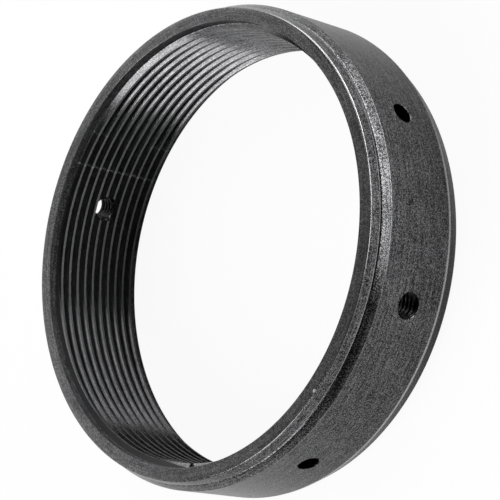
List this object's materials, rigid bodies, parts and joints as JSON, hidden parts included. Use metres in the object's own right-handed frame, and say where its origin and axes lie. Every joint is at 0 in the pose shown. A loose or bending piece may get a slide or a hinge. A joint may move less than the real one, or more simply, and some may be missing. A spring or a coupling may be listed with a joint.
{
  "type": "lens locking ring",
  "caption": "Short threaded ring with a tapered front lip, a rounded shoulder, a tapered rear edge and a row of radial grub screw and spanner holes; it screws on a lens barrel and locks it.",
  "frame": {"origin": "centre of the flat rear face, on the axis of the bore", "axes": "+Z along the bore axis from the rear face to the front lip; +X through one tapped grub screw hole"},
  "size_m": [0.046, 0.046, 0.0113],
  "materials": {
    "black_anodised_aluminium": "fine bead-blasted matt black anodise, with turning marks and slightly brighter edges"
  },
  "bodies": {
    "root": {"locking_ring": "black_anodised_aluminium"}
  },
  "joints": []
}
